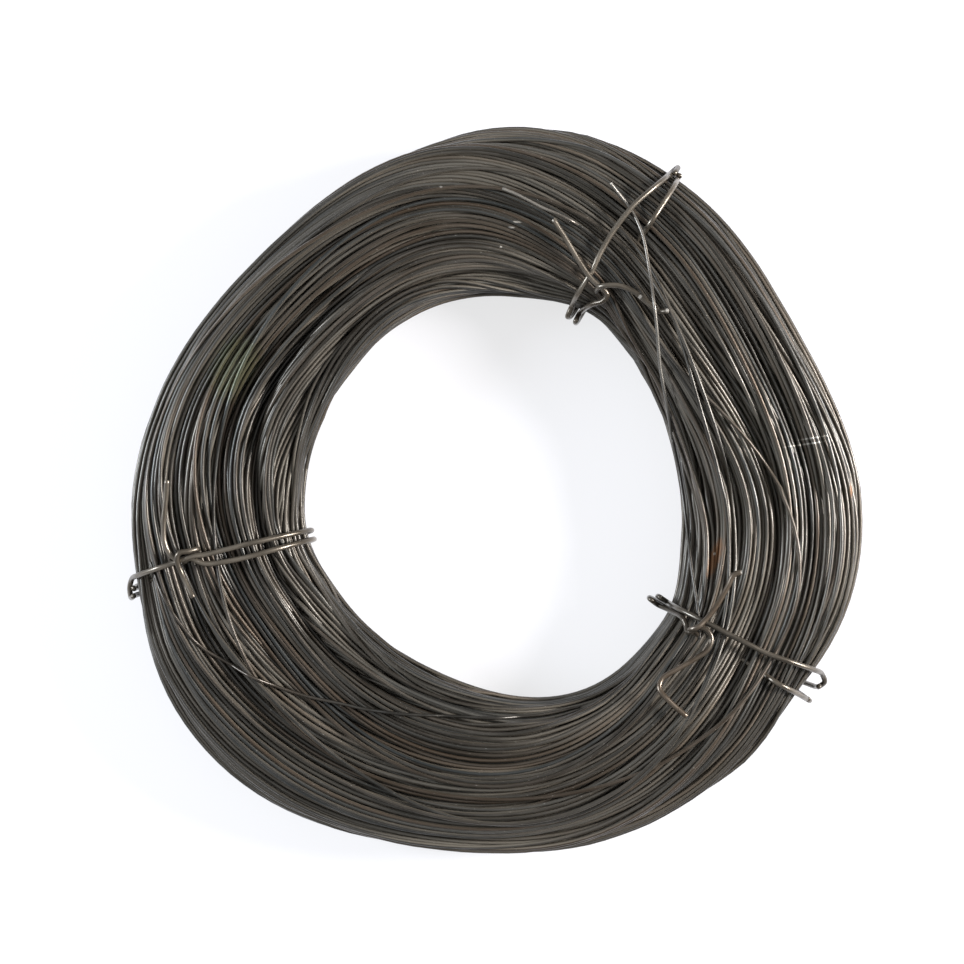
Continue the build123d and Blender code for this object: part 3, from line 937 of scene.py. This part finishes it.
def makeWire(name, f, amounts, dark, light, patches, roughness):
    mat = bpy.data.materials.new(name)
    mat.use_nodes = True
    tree = mat.node_tree
    shader = tree.nodes["Principled BSDF"]
    grain = groupNode(tree, drawnGrain, Line_Scale=amounts["grain"])
    tones = addNode(tree, "ShaderNodeAttribute", {"attribute_name": "turnTone"})
    parts = addNode(tree, "ShaderNodeSeparateXYZ", links={0: tones.outputs["Vector"]})
    tone = rampNode(tree, parts.outputs[0], 0.0, 1.0)
    uneven = mathNode(tree, "MULTIPLY", grain.outputs["Scale Patches"], amounts["scale"])
    lined = mathNode(tree, "MULTIPLY", grain.outputs["Lines"], amounts["lines"])
    share = mathNode(tree, "ADD", mathNode(tree, "MULTIPLY", tone, amounts["tone"]), uneven)
    share = mathNode(tree, "SUBTRACT", mathNode(tree, "ADD", share, lined), amounts["darkest"], True)
    color = mixColor(tree, share, f[dark], f[light])
    warm = rampNode(tree, parts.outputs[1], 0.5, 1.0)
    cool = rampNode(tree, parts.outputs[1], 0.5, 0.0)
    color = mixColor(tree, mathNode(tree, "MULTIPLY", warm, amounts["warm"]), color, f["coilWarm"])
    color = mixColor(tree, mathNode(tree, "MULTIPLY", cool, amounts["cool"]), color, f["coilCool"])
    rough = mathNode(tree, "MULTIPLY", grain.outputs["Lines"], amounts["lineRough"])
    rough = mathNode(tree, "ADD", roughness - amounts["lineRough"] / 2, rough)
    # painted fill light from the third part of turnTone: deep turns and shaded flanks turn paler, browner and
    # less metallic
    deep = rampNode(tree, parts.outputs[2], 0.0, 1.0)
    color = mixColor(tree, mathNode(tree, "MULTIPLY", deep, amounts["gapLight"]), color, f["gapLight"])
    lessMetal = mathNode(tree, "MULTIPLY", deep, amounts["metalUnderGapLight"])
    metal = mathNode(tree, "SUBTRACT", amounts["metal"], lessMetal)
    for kind, px, py, across, along, broken, strength in patches:
        place = placeSeen(px, py, 0) * mm
        patch = groupNode(tree, stainPatch, Place=tuple(place), Across=across * mm, Along=along * mm,
                          Broken=broken)
        mask = mathNode(tree, "MULTIPLY", patch.outputs["Mask"], strength)
        color = mixColor(tree, mask, color, f[kind])
        if kind == "rust":
            dull = mathNode(tree, "MULTIPLY", mask, amounts["rustRough"])
            rough = mathNode(tree, "ADD", rough, dull, True)
            lessMetal = mathNode(tree, "MULTIPLY", mask, amounts["metalUnderRust"])
            metal = mathNode(tree, "SUBTRACT", metal, lessMetal, True)
    flecked = mathNode(tree, "MULTIPLY", grain.outputs["Flecks"], amounts["flecks"])
    color = mixColor(tree, flecked, color, f["bareAndGlint"])
    tree.links.new(color, shader.inputs["Base Color"])
    tree.links.new(rough, shader.inputs["Roughness"])
    tree.links.new(metal, shader.inputs["Metallic"])
    coat = mathNode(tree, "MULTIPLY", grain.outputs["Scale Patches"], amounts["coat"])
    tree.links.new(mathNode(tree, "ADD", coat, amounts["coatLeast"]), shader.inputs["Coat Weight"])
    shader.inputs["Coat Roughness"].default_value = amounts["coatRough"]
    raised = mathNode(tree, "MULTIPLY", grain.outputs["Scale Patches"], amounts["scaleBump"])
    height = mathNode(tree, "ADD", grain.outputs["Lines"], raised)
    bump = addNode(tree, "ShaderNodeBump", {"Strength": amounts["bump"], "Distance": amounts["bumpDepth"]},
                   {"Height": height})
    tree.links.new(bump.outputs[0], shader.inputs["Normal"])
    return mat


hiddenLook = {"pitch": 0.00125, "lean": 0.7, "rough": 0.7, "bump": 0.8, "bumpDepth": 0.0004}


def makeHidden(name, f, h):
    # turns in the dark between the turns that show, as waves outward and upward, in pale colours that paint
    # fill light into the shaded gaps
    mat = bpy.data.materials.new(name)
    mat.use_nodes = True
    tree = mat.node_tree
    shader = tree.nodes["Principled BSDF"]
    here = addNode(tree, "ShaderNodeNewGeometry").outputs["Position"]
    parts = addNode(tree, "ShaderNodeSeparateXYZ", links={0: here})
    squares = [mathNode(tree, "MULTIPLY", parts.outputs[k], parts.outputs[k]) for k in (0, 1)]
    out = mathNode(tree, "SQRT", mathNode(tree, "ADD", *squares))
    both = mathNode(tree, "ADD", out, mathNode(tree, "MULTIPLY", parts.outputs[2], h["lean"]))
    wave = mathNode(tree, "SINE", mathNode(tree, "MULTIPLY", both, 2 * math.pi / h["pitch"]))
    share = rampNode(tree, wave, -1.0, 1.0)
    # both colours are far paler than the wire's own, as painted fill light in the gaps
    tree.links.new(mixColor(tree, share, f["coreFillDark"], f["coreFillLight"]), shader.inputs["Base Color"])
    shader.inputs["Roughness"].default_value = h["rough"]
    bump = addNode(tree, "ShaderNodeBump", {"Strength": h["bump"], "Distance": h["bumpDepth"]},
                   {"Height": share})
    tree.links.new(bump.outputs[0], shader.inputs["Normal"])
    return mat


coilWire = makeWire("annealedWire", finishes, wireLook, "coilDark", "coilLight", finishes["patches"],
                    finishes["coilRough"])
endWire = makeWire("rubbedWire", finishes, wireLook, "endDark", "endLight", finishes["endCuts"],
                   finishes["endRough"])
tieWire = makeWire("tieWire", finishes, wireLook, "tieDark", "tieLight", finishes["tieCutsAndGlint"],
                   finishes["tieRough"])
for piece in turns + crossings + endPieces:
    piece.data.materials.append(endWire if piece in endPieces else coilWire)
    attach(piece, "root")
    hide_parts("wire_coil")
core.data.materials.append(makeHidden("hiddenTurns", finishes, hiddenLook))
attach(core, "root")
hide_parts("wire_coil")
for node, piece in tiePieces.items():
    piece.data.materials.append(tieWire)
    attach(piece, "root")
    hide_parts(node)
print("materials made")


# floor and light
studio = {
    "floorSize": 8.0, "paper": (0.86, 0.87, 0.97), "paperRough": 0.9,
    "glow": 0.72,             # share of the paper that shows as plain white
    "world": 0.44,
    "lights": (               # name, place, size, power, colour
        ("rightLight", (0.98, 0.12, 0.58), 0.35, 34, (1.0, 0.95, 0.90)),
        ("leftLight", (-0.98, 0.15, 0.50), 0.40, 16, (0.88, 0.94, 1.0)),
        ("overLight", (0.1, 0.25, 1.3), 0.7, 0.8, (1.0, 1.0, 1.0)),
    ),
}


def makeFloor(s):
    size = s["floorSize"]
    mesh = bpy.data.meshes.new("floor")
    mesh.from_pydata([(-size, -size, 0), (size, -size, 0), (size, size, 0), (-size, size, 0)],
                     [], [(0, 1, 2, 3)])
    obj = bpy.data.objects.new("floor", mesh)
    bpy.context.collection.objects.link(obj)
    mat = bpy.data.materials.new("floorPaper")
    mat.use_nodes = True
    tree = mat.node_tree
    shader = tree.nodes["Principled BSDF"]
    shader.inputs["Base Color"].default_value = (*s["paper"], 1)
    shader.inputs["Roughness"].default_value = s["paperRough"]
    glow = addNode(tree, "ShaderNodeEmission", {"Color": (1, 1, 1, 1), "Strength": 1.0})
    seen = addNode(tree, "ShaderNodeLightPath")
    looks = mathNode(tree, "MAXIMUM", seen.outputs["Is Camera Ray"], seen.outputs["Is Glossy Ray"])
    looks = mathNode(tree, "MAXIMUM", looks, seen.outputs["Is Transmission Ray"])
    share = mathNode(tree, "MULTIPLY", looks, s["glow"])
    mix = addNode(tree, "ShaderNodeMixShader", links={0: share, 1: shader.outputs[0], 2: glow.outputs[0]})
    tree.links.new(mix.outputs[0], tree.nodes["Material Output"].inputs["Surface"])
    obj.data.materials.append(mat)


def areaLight(name, place, size, power, color):
    data = bpy.data.lights.new(name, "AREA")
    data.color = color
    data.shape = "DISK"
    data.size = size
    data.energy = power
    obj = bpy.data.objects.new(name, data)
    obj.location = place
    obj.rotation_mode = "QUATERNION"
    obj.rotation_quaternion = (-Vector(place)).to_track_quat("-Z", "Y")
    bpy.context.collection.objects.link(obj)


makeFloor(studio)
for light in studio["lights"]:
    areaLight(*light)
world = bpy.data.worlds.new("studio")
bpy.context.scene.world = world
world.use_nodes = True
world.node_tree.nodes["Background"].inputs["Color"].default_value = (1, 1, 1, 1)
world.node_tree.nodes["Background"].inputs["Strength"].default_value = studio["world"]
bpy.context.scene.view_settings.view_transform = "Standard"
